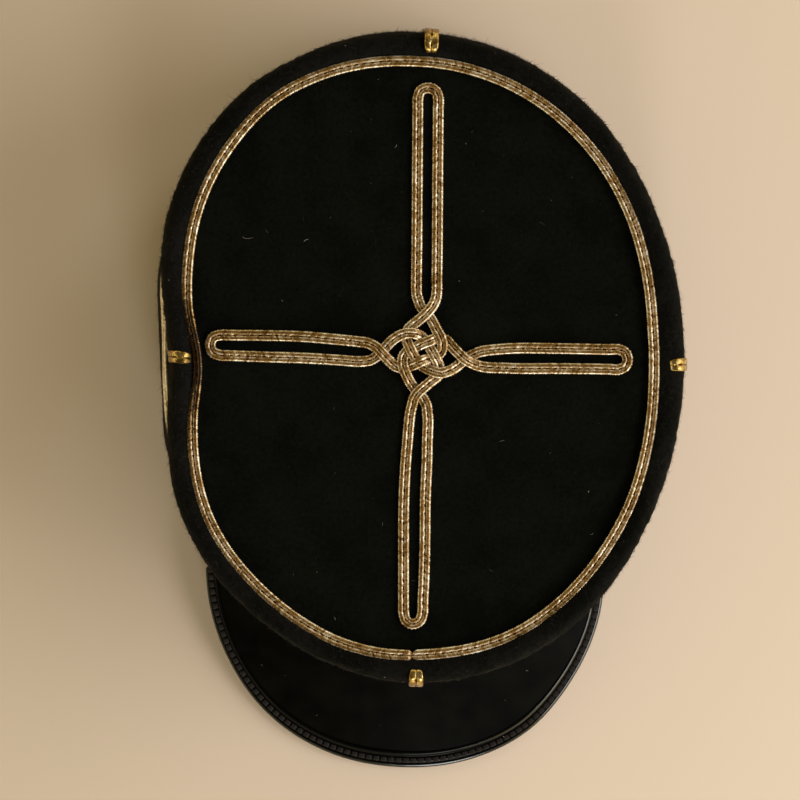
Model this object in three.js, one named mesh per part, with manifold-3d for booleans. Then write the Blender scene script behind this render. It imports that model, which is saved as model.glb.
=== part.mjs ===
// A kepi style marching band cap: felt crown with a sunk oval top, band, leather peak and gold braid.
// Millimetres, +Z up, the peak points to -Y. The cap stands as it does on a table, on the back of
// its band and the front edge of its peak, so the hem rises from the back to the front.
import * as THREE from 'three';
import Module from 'manifold-3d';

const wasm = await Module();
wasm.setup();

// Ovals of the crown from the hem up, each with its own middle because the crown leans
const HEM = { x: 0, y: 3.5, halfWidth: 82, halfLength: 100 };
const SEAM = { x: 1.6, y: 1.5, halfWidth: 77.5, halfLength: 97 };
const RIM = { x: 3.2, y: -4, halfWidth: 76.4, halfLength: 95.1 };

// Bulges and dents of the rim: where they are round the oval, how far out they stand, how wide they are
const DENTS = [
  { angle: 136, rise: 9, spread: 36 },
  { angle: 217.5, rise: 4, spread: 21 },
  { angle: 181.5, rise: -4.5, spread: 11 },
];

// Heights above the table
const RIM_TOP = 103;
const FRONT_LIFT = 19;
const HEM_FLAT = 0.8;
const BAND_HEIGHT = 36;

// Cloth, and the clearance between sewn pieces
const FELT = 2.2;
const BAND_THICK = 2.6;
const BAND_STEP = 0.3;
const PANEL_THICK = 2;
const GAP = 0.3;

// Rows of the wall, as shares of its height, outside and inside
const WALL_OUTSIDE = [0, 0.34, 0.68];
const WALL_INSIDE = [0.5, 0];

// Rolled rim: distance of its crest and of its inner lip from the outside, depths below the crest,
// and how far the lip sits towards the front
const CREST_INSET = 3.6;
const LIP_INSET = 7.8;
const SHOULDER_DROP = 5;
const LIP_DROP = 3.2;
const LIP_BOTTOM = 5.4;
const LIP_FORWARD = 0.8;

// Rows of the roll, turned 0 at the outer wall, 90 at the crest and 180 at the lip
const ROLL_OUTSIDE = [0, 36, 72, 108, 144, 180];
const ROLL_INSIDE = [180, 90, 0];

// Sunk top
const PANEL_DROP = 3.3;
const PANEL_SAG = 1.2;
const PANEL_RINGS = [0.36, 0.7, 1];

// Gold braid: two cords side by side with a groove between them.
// Its outline is in shares of the half width across and of the thickness up
const SOUTACHE = { width: 3.1, thick: 1.2 };
const SIDE_BRAID = { width: 4.2, thick: 1.2 };
const BRAID_FOOT = 0.7;
const BRAID_OUTLINE = [
  { across: -BRAID_FOOT, high: 0 },
  { across: -1, high: 0.45 },
  { across: -0.5, high: 1 },
  { across: 0, high: 0.7 },
  { across: 0.5, high: 1 },
  { across: 1, high: 0.45 },
  { across: BRAID_FOOT, high: 0 },
];

// Ring round the foot of the rim: its lean, its extra twist at the dent and its butt join
const RING_INSET = 8.3;
const RING_TILT = 38;
const RING_TWIST = 24;
const RING_JOIN_ANGLE = 268.7;
const RING_JOIN_GAP = 0.5;

// Upright braids: their places round the crown, how far over the rim they end, and the rows
// they pass as shares of the wall and as turns of the roll
const SIDE_BRAIDS = [
  { name: 'right', angle: 0 },
  { name: 'back', angle: 90 },
  { name: 'left', angle: 181 },
  { name: 'front', angle: 270 },
];
const SIDE_BRAID_END = 6;
const SIDE_BRAID_SHARES = [0.3, 0.55, 0.8];
const SIDE_BRAID_TURNS = [0, 24, 48, 72, 90];

// Knot on the top: reach of the back, left, front and right arm from its middle and how far each
// tip strays sideways, then the path of one quarter of the braid with its rise where it crosses over
const KNOT_OFFSET_Y = 1.3;
const KNOT_ARMS = [
  { reach: 77, stray: 0 },
  { reach: 62.3, stray: 0 },
  { reach: 78.7, stray: 1.5 },
  { reach: 59.4, stray: 0 },
];
const ARM_HALF_WIDTH = 2.93;
const ARM_START = 17.5;
const TIP_OVERLAP = 4;
const TIP_TURNS = [-TIP_OVERLAP, 20, 45, 70, 90];
const CROSSING_LIFT = 1.35;
const KNOT_STEPS = 36;
const KNOT_PATH = [
  { x: -2.93, y: 17.5, over: 0 },
  { x: -2, y: 14.6, over: 0 },
  { x: 0, y: 12.6, over: 0 },
  { x: 3, y: 10, over: 0.4 },
  { x: 6.06, y: 4.43, over: 1 },
  { x: 5.6, y: 0.9, over: 0.5 },
  { x: 3, y: -1.35, over: 0 },
  { x: -1.35, y: -3, over: 1 },
  { x: -6.06, y: -4.43, over: 0 },
  { x: -10, y: -3, over: 0.5 },
  { x: -12.6, y: 0, over: 1 },
  { x: -14.6, y: 2, over: 0.6 },
  { x: -17.5, y: 2.93, over: 0 },
];

// Peak: a round front edge about its own middle, and the half angles of its sewn and its free edge
const PEAK = { x: -0.8, y: -71.3, radius: 63.1, thick: 2 };
const PEAK_SWING = 1.8;
const PEAK_SEWN_ANGLE = 44;
const PEAK_EDGE_ANGLE = 97.5;
const PEAK_TUCK = 2.4;
const PEAK_SLOPE = 21.9;
const PEAK_STEPS = 40;

// Leather strip folded round the edge of the peak
const BINDING = { width: 4.2, thick: 0.8, clearance: 0.25, shoulder: 0.2, round: 0.7 };
const BINDING_EDGE_ANGLE = 90;

const STEPS_ROUND = 72;
const FRONT = 270;

const radians = THREE.MathUtils.degToRad;
const lerp = THREE.MathUtils.lerp;

// Ovals and heights

function ovalRadius(oval, angle) {
  const across = oval.halfLength * Math.cos(radians(angle));
  const along = oval.halfWidth * Math.sin(radians(angle));
  return (oval.halfWidth * oval.halfLength) / Math.hypot(across, along);
}

function dentAt(angle) {
  return DENTS.reduce((sum, dent) => {
    const apart = THREE.MathUtils.euclideanModulo(angle - dent.angle + 180, 360) - 180;
    return sum + dent.rise * Math.exp(-((apart / dent.spread) ** 2));
  }, 0);
}

function ovalPoint(oval, angle, inset, dent = 0) {
  const radius = ovalRadius(oval, angle) + dent - inset;
  return new THREE.Vector2(
    oval.x + radius * Math.cos(radians(angle)),
    oval.y + radius * Math.sin(radians(angle)),
  );
}

function rimPoint(angle, inset) {
  const point = ovalPoint(RIM, angle, inset, dentAt(angle));
  point.y -= (LIP_FORWARD * inset) / LIP_INSET;
  return point;
}

function hemHeight(y) {
  const share = (HEM.y + HEM.halfLength - y) / (2 * HEM.halfLength);
  return FRONT_LIFT * share - HEM_FLAT;
}

function seamHeight(angle) {
  return hemHeight(ovalPoint(HEM, angle, 0).y) + BAND_HEIGHT;
}

// Points on the cloth: share 0 is the lower edge, 1 the upper edge

function bandPoint(angle, share, inset) {
  const low = ovalPoint(HEM, angle, inset);
  const high = ovalPoint(SEAM, angle, inset);
  const height = hemHeight(ovalPoint(HEM, angle, 0).y) + share * BAND_HEIGHT;
  const flat = low.lerp(high, share);
  return new THREE.Vector3(flat.x, flat.y, Math.max(height, 0));
}

function wallPoint(angle, share, inset) {
  const low = ovalPoint(SEAM, angle, inset + BAND_STEP);
  const flat = low.lerp(rimPoint(angle, inset), share);
  const height = lerp(seamHeight(angle) + GAP, RIM_TOP - SHOULDER_DROP, share);
  return new THREE.Vector3(flat.x, flat.y, height);
}

// The arch of the rim, at a depth below its outer face
function rollPoint(angle, turn, depth) {
  const outside = turn <= 90;
  const reach = outside ? CREST_INSET - depth : LIP_INSET - CREST_INSET - depth;
  const foot = outside ? SHOULDER_DROP : LIP_DROP;
  const inset = CREST_INSET - reach * Math.cos(radians(turn));
  const drop = foot - (foot - depth) * Math.sin(radians(turn));
  const flat = rimPoint(angle, inset);
  return new THREE.Vector3(flat.x, flat.y, RIM_TOP - drop);
}

function lipPoint(angle, inset) {
  const flat = rimPoint(angle, inset);
  return new THREE.Vector3(flat.x, flat.y, RIM_TOP - LIP_BOTTOM);
}

function panelHeight(x, y) {
  const dx = x - RIM.x;
  const dy = y - RIM.y;
  const angle = THREE.MathUtils.radToDeg(Math.atan2(dy, dx));
  const edge = ovalRadius(RIM, angle) + dentAt(angle) - LIP_INSET;
  const share = Math.min(Math.hypot(dx, dy) / edge, 1);
  return RIM_TOP - PANEL_DROP - PANEL_SAG * (1 - share ** 2);
}

// Solids

function geometryOf(points, triangles) {
  const geometry = new THREE.BufferGeometry();
  const flat = points.flatMap((point) => point.toArray());
  geometry.setAttribute('position', new THREE.Float32BufferAttribute(flat, 3));
  geometry.setIndex(triangles.flat());
  return geometry;
}

// Six times the enclosed volume, negative when the faces point inwards
function signedVolume(points, triangles) {
  return triangles.reduce((sum, [a, b, c]) => {
    const face = new THREE.Vector3().crossVectors(points[b], points[c]);
    return sum + points[a].dot(face);
  }, 0);
}

// Skin over a row of sections with equal point counts; a closed row returns to its first section
function loft(sections, closed) {
  const count = sections[0].length;
  const points = sections.flat();
  const triangles = [];
  const spans = closed ? sections.length : sections.length - 1;
  for (let row = 0; row < spans; row += 1) {
    const next = (row + 1) % sections.length;
    for (let i = 0; i < count; i += 1) {
      const j = (i + 1) % count;
      const [a, b] = [row * count + i, row * count + j];
      const [c, d] = [next * count + i, next * count + j];
      triangles.push([a, b, d], [a, d, c]);
    }
  }
  if (!closed) {
    capEnds(points, triangles, sections);
  }
  if (signedVolume(points, triangles) < 0) {
    triangles.forEach((triangle) => triangle.reverse());
  }
  return geometryOf(points, triangles);
}

function capEnds(points, triangles, sections) {
  const count = sections[0].length;
  const last = (sections.length - 1) * count;
  for (const [start, flip] of [[0, false], [last, true]]) {
    const ring = points.slice(start, start + count);
    const frame = sectionPlane(ring);
    const flat = ring.map((point) => new THREE.Vector2(point.dot(frame.u), point.dot(frame.v)));
    for (const face of THREE.ShapeUtils.triangulateShape(flat, [])) {
      const [a, b, c] = face.map((i) => start + i);
      triangles.push(flip ? [a, b, c] : [a, c, b]);
    }
  }
}

// Two directions that span an end section, turned so that its outline runs anticlockwise
function sectionPlane(ring) {
  const normal = new THREE.Vector3();
  ring.forEach((point, i) => {
    const next = ring[(i + 1) % ring.length];
    normal.add(new THREE.Vector3().crossVectors(point, next));
  });
  normal.normalize();
  const u = new THREE.Vector3().subVectors(ring[1], ring[0]).projectOnPlane(normal).normalize();
  const v = new THREE.Vector3().crossVectors(normal, u);
  return { u, v };
}

function solidOf(geometry) {
  const vertProperties = new Float32Array(geometry.attributes.position.array);
  const triVerts = new Uint32Array(geometry.index.array);
  return new wasm.Manifold(new wasm.Mesh({ numProp: 3, vertProperties, triVerts }));
}

function joined(geometries) {
  const whole = geometries.map(solidOf).reduce((sum, solid) => sum.add(solid));
  const mesh = whole.getMesh();
  const geometry = new THREE.BufferGeometry();
  geometry.setAttribute('position', new THREE.BufferAttribute(mesh.vertProperties, 3));
  geometry.setIndex(new THREE.BufferAttribute(mesh.triVerts, 1));
  return geometry;
}

function anglesRound(steps) {
  return Array.from({ length: steps }, (_, i) => (360 * i) / steps);
}

// Cloth pieces

function bandGeometry() {
  const corners = [
    { share: 0, inset: 0 },
    { share: 0.5, inset: 0 },
    { share: 1, inset: 0 },
    { share: 1, inset: BAND_THICK },
    { share: 0, inset: BAND_THICK },
  ];
  const section = (angle) => corners.map(({ share, inset }) => bandPoint(angle, share, inset));
  return loft(anglesRound(STEPS_ROUND).map(section), true);
}

function crownWallGeometry() {
  const section = (angle) => [
    ...WALL_OUTSIDE.map((share) => wallPoint(angle, share, 0)),
    ...ROLL_OUTSIDE.map((turn) => rollPoint(angle, turn, 0)),
    lipPoint(angle, LIP_INSET),
    lipPoint(angle, LIP_INSET - FELT),
    ...ROLL_INSIDE.map((turn) => rollPoint(angle, turn, FELT)),
    ...WALL_INSIDE.map((share) => wallPoint(angle, share, FELT)),
  ];
  return loft(anglesRound(STEPS_ROUND).map(section), true);
}

function topPanelGeometry() {
  const middle = [0, PANEL_THICK].map((depth) => {
    return new THREE.Vector3(RIM.x, RIM.y, panelHeight(RIM.x, RIM.y) - depth);
  });
  const points = [...middle];
  const triangles = [];
  const rows = [...PANEL_RINGS, ...PANEL_RINGS.toReversed()];
  rows.forEach((share, row) => {
    const depth = row < PANEL_RINGS.length ? 0 : PANEL_THICK;
    for (const angle of anglesRound(STEPS_ROUND)) {
      const edge = rimPoint(angle, LIP_INSET + GAP);
      const x = lerp(RIM.x, edge.x, share);
      const y = lerp(RIM.y, edge.y, share);
      points.push(new THREE.Vector3(x, y, panelHeight(x, y) - depth));
    }
  });
  const at = (row, i) => middle.length + row * STEPS_ROUND + (i % STEPS_ROUND);
  for (let i = 0; i < STEPS_ROUND; i += 1) {
    triangles.push([0, at(0, i), at(0, i + 1)]);
    triangles.push([1, at(rows.length - 1, i + 1), at(rows.length - 1, i)]);
    for (let row = 0; row < rows.length - 1; row += 1) {
      triangles.push([at(row, i), at(row + 1, i), at(row + 1, i + 1)]);
      triangles.push([at(row, i), at(row + 1, i + 1), at(row, i + 1)]);
    }
  }
  return geometryOf(points, triangles);
}

// Braid: its section stands on the cloth, with side along its width and up away from the cloth

function braidSection(braid, origin, side, up) {
  return BRAID_OUTLINE.map(({ across, high }) => {
    const point = origin.clone().addScaledVector(side, (across * braid.width) / 2);
    return point.addScaledVector(up, high * braid.thick);
  });
}

// Open run of braid through stations, each a place on the cloth and the direction away from it
function braidRun(braid, stations) {
  const sections = stations.map(({ place, up }, i) => {
    const before = stations[Math.max(i - 1, 0)].place;
    const after = stations[Math.min(i + 1, stations.length - 1)].place;
    const along = new THREE.Vector3().subVectors(after, before).normalize();
    const side = new THREE.Vector3().crossVectors(along, up).normalize();
    const lifted = new THREE.Vector3().crossVectors(side, along);
    return braidSection(braid, place.clone().addScaledVector(lifted, GAP), side, lifted);
  });
  return loft(sections, false);
}

// Level direction that stands square on the outline of the rim
function squareOut(angle) {
  const reach = 2;
  const round = rimPoint(angle + reach, 0).sub(rimPoint(angle - reach, 0)).normalize();
  return new THREE.Vector3(round.y, -round.x, 0);
}

function inwardAt(angle) {
  return new THREE.Vector3(-Math.cos(radians(angle)), -Math.sin(radians(angle)), 0);
}

// The ring leans on the inner slope of the rim and stands steeper where the left side is pressed in
function ringBraidGeometry() {
  const joinHalf = THREE.MathUtils.radToDeg(RING_JOIN_GAP / 2 / (RIM.halfLength - RING_INSET));
  const start = RING_JOIN_ANGLE + joinHalf;
  const end = RING_JOIN_ANGLE + 360 - joinHalf;
  const pressed = DENTS.at(-1);
  const foot = (BRAID_FOOT * SOUTACHE.width) / 2;
  const sections = Array.from({ length: STEPS_ROUND + 1 }, (_, i) => {
    const angle = lerp(start, end, i / STEPS_ROUND);
    const apart = angle - 360 - pressed.angle;
    const twist = RING_TWIST * Math.exp(-((apart / pressed.spread) ** 2));
    const tilt = radians(RING_TILT + twist);
    const inward = inwardAt(angle);
    const side = inward.clone().multiplyScalar(Math.cos(tilt));
    side.z = -Math.sin(tilt);
    const up = inward.clone().multiplyScalar(Math.sin(tilt));
    up.z = Math.cos(tilt);
    const flat = rimPoint(angle, RING_INSET + foot * Math.cos(radians(RING_TILT)));
    const innerEdge = new THREE.Vector3(flat.x, flat.y, panelHeight(flat.x, flat.y) + GAP);
    return braidSection(SOUTACHE, innerEdge.addScaledVector(side, -foot), side, up);
  });
  return loft(sections, false);
}

// Upright braid from the braid on the seam up the wall and over the rim
function sideBraidGeometry(angle) {
  const outward = squareOut(angle);
  const upward = new THREE.Vector3(0, 0, 1);
  const wallHeight = RIM_TOP - SHOULDER_DROP - seamHeight(angle);
  const firstShare = (SIDE_BRAID.width / 2 + GAP) / wallHeight;
  const onWall = [firstShare, ...SIDE_BRAID_SHARES].map((share) => {
    return { place: wallPoint(angle, share, 0), up: outward };
  });
  const lastSine = (SIDE_BRAID_END - CREST_INSET) / (LIP_INSET - CREST_INSET);
  const lastTurn = 90 + THREE.MathUtils.radToDeg(Math.asin(lastSine));
  const onRim = [...SIDE_BRAID_TURNS, lastTurn].map((turn) => {
    const up = outward.clone().multiplyScalar(Math.cos(radians(turn)));
    up.addScaledVector(upward, Math.sin(radians(turn)));
    return { place: rollPoint(angle, turn, 0), up };
  });
  return braidRun(SIDE_BRAID, [...onWall, ...onRim]);
}

function bandBraidGeometry() {
  const sections = anglesRound(STEPS_ROUND).map((angle) => {
    const seam = bandPoint(angle, 1, 0);
    const side = wallPoint(angle, 0.1, 0).sub(bandPoint(angle, 0.9, 0)).normalize();
    const outward = inwardAt(angle).negate().projectOnPlane(side).normalize();
    return braidSection(SIDE_BRAID, seam.addScaledVector(outward, GAP), side, outward);
  });
  return loft(sections, true);
}

// Knot braid: four equal quarters turned about the middle, each from one arm's tip to the next

function turned(point, quarter) {
  return point.clone().applyAxisAngle(new THREE.Vector3(0, 0, 1), (quarter * Math.PI) / 2);
}

// One side of an arm that points to +Y, from its round tip down to the middle of the knot
function armSide({ reach, stray }, side) {
  const tip = TIP_TURNS.map((turn) => {
    const x = side * ARM_HALF_WIDTH * Math.sin(radians(turn));
    const y = reach - ARM_HALF_WIDTH * (1 - Math.cos(radians(turn)));
    return new THREE.Vector3(x, y, 0);
  });
  const straight = [1 / 3, 2 / 3].map((share) => {
    const y = lerp(reach - ARM_HALF_WIDTH, ARM_START, share);
    return new THREE.Vector3(side * ARM_HALF_WIDTH, y, 0);
  });
  const run = [...tip, ...straight];
  run.forEach((point) => {
    point.x += (stray * (point.y - ARM_START)) / (reach - ARM_START);
  });
  return run;
}

function knotMiddle() {
  const path = KNOT_PATH.map(({ x, y, over }) => new THREE.Vector3(x, y, over * CROSSING_LIFT));
  return new THREE.CatmullRomCurve3(path, false, 'centripetal').getPoints(KNOT_STEPS);
}

function knotQuarter(quarter) {
  const first = armSide(KNOT_ARMS[quarter], -1);
  const next = armSide(KNOT_ARMS[(quarter + 1) % KNOT_ARMS.length], 1).toReversed();
  const path = [...first, ...knotMiddle(), ...next.map((point) => turned(point, 1))];
  const stations = path.map((point) => {
    const place = turned(point, quarter);
    place.x += RIM.x;
    place.y += RIM.y + KNOT_OFFSET_Y;
    place.z += panelHeight(place.x, place.y);
    return { place, up: new THREE.Vector3(0, 0, 1) };
  });
  return braidRun(SOUTACHE, stations);
}

function knotBraidGeometry() {
  return joined(KNOT_ARMS.map((_, quarter) => knotQuarter(quarter)));
}

// Peak: a level margin lies under the hem, and straight lines run from there to the free edge

function peakEdge(share) {
  const turn = radians(FRONT + share * PEAK_EDGE_ANGLE);
  const swing = PEAK_SWING * Math.cos(radians(share * 90));
  const free = new THREE.Vector3(
    PEAK.x + swing + PEAK.radius * Math.cos(turn),
    PEAK.y + PEAK.radius * Math.sin(turn),
    0,
  );
  const [sewn, margin] = [0, PEAK_TUCK].map((inset) => {
    const flat = ovalPoint(HEM, FRONT + share * PEAK_SEWN_ANGLE, inset);
    return new THREE.Vector3(flat.x, flat.y, hemHeight(flat.y) - GAP - PEAK.thick / 2);
  });
  const fall = Math.tan(radians(PEAK_SLOPE)) * Math.hypot(free.x - sewn.x, free.y - sewn.y);
  free.z = sewn.z - fall;
  const along = new THREE.Vector3().subVectors(free, sewn).normalize();
  return { margin, sewn, free, along };
}

// The same edge with the direction that stands square on the leather
function peakStation(share) {
  const step = 0.01;
  const station = peakEdge(share);
  const before = peakEdge(Math.max(share - step, -1)).free;
  const after = peakEdge(Math.min(share + step, 1)).free;
  const round = after.clone().sub(before).normalize();
  const up = new THREE.Vector3().crossVectors(round, station.along).normalize();
  if (up.z < 0) {
    up.negate();
  }
  const outward = new THREE.Vector3().crossVectors(up, round);
  if (outward.dot(station.along) < 0) {
    outward.negate();
  }
  return { ...station, up, outward };
}

function sharesAcross(limit) {
  return Array.from({ length: PEAK_STEPS + 1 }, (_, i) => lerp(-limit, limit, i / PEAK_STEPS));
}

function peakGeometry() {
  const half = PEAK.thick / 2;
  const upright = new THREE.Vector3(0, 0, 1);
  const sections = sharesAcross(1).map((share) => {
    const { margin, sewn, free, up } = peakStation(share);
    const rows = [
      { place: margin, square: upright },
      { place: sewn, square: upright },
      { place: sewn.clone().lerp(free, 0.5), square: up },
      { place: free, square: up },
    ];
    const upper = rows.map(({ place, square }) => place.clone().addScaledVector(square, half));
    const lower = rows.map(({ place, square }) => place.clone().addScaledVector(square, -half));
    return [...upper, ...lower.toReversed()];
  });
  return loft(sections, false);
}

function peakBindingGeometry() {
  const inner = PEAK.thick / 2 + BINDING.clearance;
  const outer = inner + BINDING.thick;
  const nose = BINDING.clearance + BINDING.thick;
  const hem = nose - BINDING.width;
  const outline = [
    [hem, outer],
    [-BINDING.shoulder, outer],
    [BINDING.round * nose, BINDING.round * outer],
    [nose, 0],
    [BINDING.round * nose, -BINDING.round * outer],
    [-BINDING.shoulder, -outer],
    [hem, -outer],
    [hem, -inner],
    [BINDING.clearance, -inner],
    [BINDING.clearance, inner],
    [hem, inner],
  ];
  const sections = sharesAcross(BINDING_EDGE_ANGLE / PEAK_EDGE_ANGLE).map((share) => {
    const { free, up, outward } = peakStation(share);
    return outline.map(([out, high]) => {
      const point = free.clone().addScaledVector(outward, out).addScaledVector(up, high);
      point.z = Math.max(point.z, 0);
      return point;
    });
  });
  return loft(sections, false);
}

// Finishes

const felt = { color: 0x16161a, roughness: 0.95, metalness: 0 };
const gold = { color: 0xc29a4a, roughness: 0.45, metalness: 0.6 };
const leather = { color: 0x0e0e10, roughness: 0.45, metalness: 0 };
const patent = { color: 0x0a0a0b, roughness: 0.2, metalness: 0 };

// Assembly

const cap = new THREE.Group();

function add(name, geometry, finish) {
  const mesh = new THREE.Mesh(geometry, new THREE.MeshStandardMaterial(finish));
  mesh.name = name;
  cap.add(mesh);
}

add('band', bandGeometry(), felt);
add('crown_wall', crownWallGeometry(), felt);
add('top_panel', topPanelGeometry(), felt);
add('ring_braid', ringBraidGeometry(), gold);
add('knot_braid', knotBraidGeometry(), gold);
for (const { name, angle } of SIDE_BRAIDS) {
  add(`side_braid_${name}`, sideBraidGeometry(angle), gold);
}
add('band_braid', bandBraidGeometry(), gold);
add('peak', peakGeometry(), leather);
add('peak_binding', peakBindingGeometry(), patent);

// The origin is the middle of the cap's footprint, on the table
const box = new THREE.Box3().setFromObject(cap);
const middle = box.getCenter(new THREE.Vector3());
cap.position.set(-middle.x, -middle.y, -box.min.z);

export default cap;
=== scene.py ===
"""A kepi style marching band cap of black wool with gold soutache and a bound leather peak.

The cap lies crown up on a pale table and is seen from straight above, in soft light from the right."""

import math

import bmesh
import bpy
import numpy as np
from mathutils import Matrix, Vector
from mathutils.bvhtree import BVHTree


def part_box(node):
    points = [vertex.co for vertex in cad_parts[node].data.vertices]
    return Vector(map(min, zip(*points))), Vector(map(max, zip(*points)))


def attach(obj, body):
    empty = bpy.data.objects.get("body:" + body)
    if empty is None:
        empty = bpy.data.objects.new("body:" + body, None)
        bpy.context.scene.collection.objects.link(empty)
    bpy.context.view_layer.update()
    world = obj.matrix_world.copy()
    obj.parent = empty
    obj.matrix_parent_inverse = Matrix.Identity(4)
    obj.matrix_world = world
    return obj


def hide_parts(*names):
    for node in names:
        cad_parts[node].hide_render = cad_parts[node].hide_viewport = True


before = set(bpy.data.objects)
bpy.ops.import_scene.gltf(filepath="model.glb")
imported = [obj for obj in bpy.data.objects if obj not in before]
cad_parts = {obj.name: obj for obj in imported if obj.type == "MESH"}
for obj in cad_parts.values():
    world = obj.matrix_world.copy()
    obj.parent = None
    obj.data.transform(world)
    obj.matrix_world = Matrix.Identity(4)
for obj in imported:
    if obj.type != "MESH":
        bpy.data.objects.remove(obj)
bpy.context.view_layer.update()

MM = 0.001
UP = Vector((0, 0, 1))
# Corners of the CAD's loose triangles that lie this close are one
MERGED_WITHIN = 0.01 * MM
# What keeps a division from being by zero: a length and an area
LEAST_LENGTH, LEAST_AREA = 1e-9, 1e-15
# Steps between two points of a smooth line, before it is parted evenly
CURVE_STEPS = 16
# Places of a Mix node's two colours among its inputs, and of the mixture among its outputs
MIX_FIRST, MIX_SECOND, MIX_RESULT = 6, 7, 2

# Camera: straight above the cap, turned a little, with the field of view of the picture. Its sensor is in
# millimetres, as Blender takes it, and the last two are how near and how far it sees.
CAMERA_PLACE = (-3.5 * MM, -0.44 * MM, 1000 * MM)
CAMERA_TURN = math.radians(1.4)
SENSOR = 36.0
PICTURE_PIXELS = 800
FOCAL_PIXELS = 3068
CAMERA_NEAR, CAMERA_FAR = 0.05, 20.0

# Light: a soft lamp low on the right, a bright strip before it, a small lamp each at the front and the back,
# and a room whose walls are brighter than its ceiling. A lamp is its place, its width and its height in
# metres and its power in watts, and it is turned to the middle of the cap. The light of the room goes over
# from walls to ceiling between the horizon and a sine of the angle upwards. The table's width is in metres.
LAMPS = (
    ((0.92, -0.06, 0.78), 0.95, 0.95, 7.2),
    ((0.76, -0.58, 0.66), 0.7, 0.35, 3.0),
    ((0.15, -1.1, 0.45), 0.3, 0.3, 3.8),
    ((0.75, 0.85, 0.7), 0.4, 0.4, 1.8),
)
LAMPS_AIM = Vector((0, 0, 50 * MM))
WALL_LIGHT = 2.4
CEILING_LIGHT = 0.03
CEILING_FROM = 0.65
ROOM_COLOUR = "#fff0b8"
TABLE_SIZE = 12.0

# Gold braid of each kind: its width and thickness, how square its cords are pressed, where 2 is round, the
# pitch of its threads, the slant of a thread from the outer edge to the groove in pitches, how proud a
# thread stands, how deep the braid is pressed into the cloth, or below 0 how far it is off it, and how far
# its cut ends are turned down. Then its shade, from 0 or less, tarnished, to 1, pale, the highlight painted
# on its outer edge and on the lip of its groove, painted shade where it is below 0, and what the tarnish of
# the groove adds to that.
SOUTACHE = {
    "width": 3.15 * MM, "thick": 1.15 * MM, "square": 2.4, "pitch": 0.68 * MM, "slant": 1.3,
    "proud": 0.2 * MM, "sunk": -0.25 * MM, "end": 0.3 * MM,
    "shade": 0.33, "edge": 0.55, "lip": 0.45, "groove": -0.15,
}
SEAM_BRAID = {
    "width": 4.2 * MM, "thick": 1.2 * MM, "square": 2.4, "pitch": 0.7 * MM, "slant": 1.3,
    "proud": 0.2 * MM, "sunk": 0.0,
    "shade": 0.8, "edge": 0.2, "lip": 0.1, "groove": -0.3,
}
SIDE_BRAID = {
    "thick": 1.6 * MM, "square": 3.5, "pitch": 0.5 * MM, "slant": 3.0,
    "proud": 0.05 * MM, "end": 1.3 * MM,
    "shade": 0.5, "edge": -0.2, "lip": 0.15, "groove": -0.25,
}
# How far each upright braid stops short of the ring, its width, and how deep it is pressed into the cloth
SIDES = (
    ("right", 2.6 * MM, 3.8 * MM, 1.0 * MM),
    ("back", 0.9 * MM, 4.2 * MM, 0.5 * MM),
    ("left", 0.3 * MM, 3.6 * MM, 1.1 * MM),
    ("front", 2.2 * MM, 4.2 * MM, 0.8 * MM),
)
# Up to the first height a braid is pressed in by the first share of its depth, and from the second by all
PRESSED_AT = (65 * MM, 88 * MM)
PRESSED_SHARE = (0.4, 1.0)
# The groove of a braid's solid is where its faces fold inwards by more than this angle, and the foot of the
# braid lies below it by this share of its thickness
GROOVE_ANGLE = math.radians(30)
GROOVE_SHARE = 0.7
# Corners round a cord, and where its middle lies from the groove, in half widths of the cord
CORD_SIDES = 16
CORD_APART = 0.92
# Share of its width that a cut end of a braid loses
END_ROUNDED = 0.4
# The ring lies level, but leans out where the rim is pressed in: at that angle, over that spread, both in
# degrees, by that slope. There it is painted darker by so much of its shade, as the shadow that it lies in,
# and it is cut back by so much at its join.
RING_LEAN = (181, 12, 0.65)
RING_PAINTED_SHADOW = 0.9
RING_JOIN = 1.0 * MM
# How far the braid on the seam turns up where the seam is pushed out, and the push that turns it so far
SEAM_LEAN = 0.45
SEAM_LEAN_AT = 2 * MM
# How the threads differ in shade, in how proud they stand, in how far they stray along the braid, in
# pitches, and in how strong their painted highlight is, and the share of the shade that is kept in the
# hollow between two threads, which is painted darker as shade
THREADS_DIFFER = 0.1
THREADS_PROUD = (0.4, 1.6)
THREADS_STRAY = 0.1
THREADS_PAINTED_HIGHLIGHT = (0.3, 1.7)
HOLLOW_PAINTED_SHADE = 0.8
# Where a cord has its painted highlight, at its outer edge and at the lip of the groove, from -1 at the
# groove to 1 outside, over what spread, how steeply the tarnish of the groove falls off, and the shade at
# which gilt is brown
PAINTED_HIGHLIGHT_EDGE, PAINTED_HIGHLIGHT_LIP, PAINTED_HIGHLIGHT_SPREAD = 0.85, -0.45, 0.25
TARNISH_FALL = 4
BROWN_SHADE = 0.45

# Sewing of the braid: a stitch every so far along the groove pulls the cords down. Its pull reaches so far
# along, it is whole up to the first angle from the side at the groove and gone from the second, and it is so
# deep in thicknesses of the braid. The dent is painted darker, as painted shade, down to so much below 0.
SEWING_PITCH = 2.4 * MM
SEWING_REACH = 0.35 * MM
SEWING_ROUND = (math.radians(16.5), math.radians(71.5))
SEWING_DEPTH = 0.5
SEWING_PAINTED_SHADE = 0.5

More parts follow.
